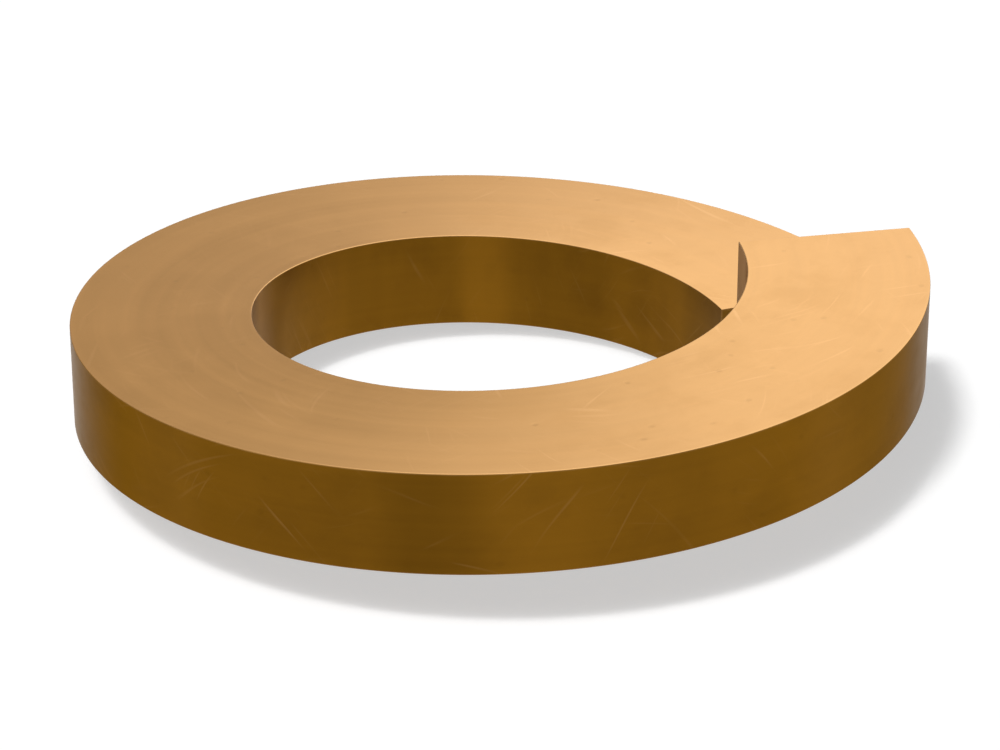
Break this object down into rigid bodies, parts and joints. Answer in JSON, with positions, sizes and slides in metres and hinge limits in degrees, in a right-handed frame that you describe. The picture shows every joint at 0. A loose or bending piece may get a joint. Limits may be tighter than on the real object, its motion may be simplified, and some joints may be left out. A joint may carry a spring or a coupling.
{
  "type": "spring lock washer",
  "caption": "Split bronze ring of rectangular section with its cut ends sprung apart, placed under a nut or bolt head to keep it from working loose.",
  "frame": {"origin": "on the bore's axis, at the height of the low end's underside", "axes": "+Z along the bore, from the low end towards the raised end; the split is centred on +X"},
  "size_m": [0.021, 0.021, 0.0048],
  "materials": {
    "bronze": "satin"
  },
  "bodies": {
    "root": {"lock_washer": "bronze"}
  },
  "joints": []
}
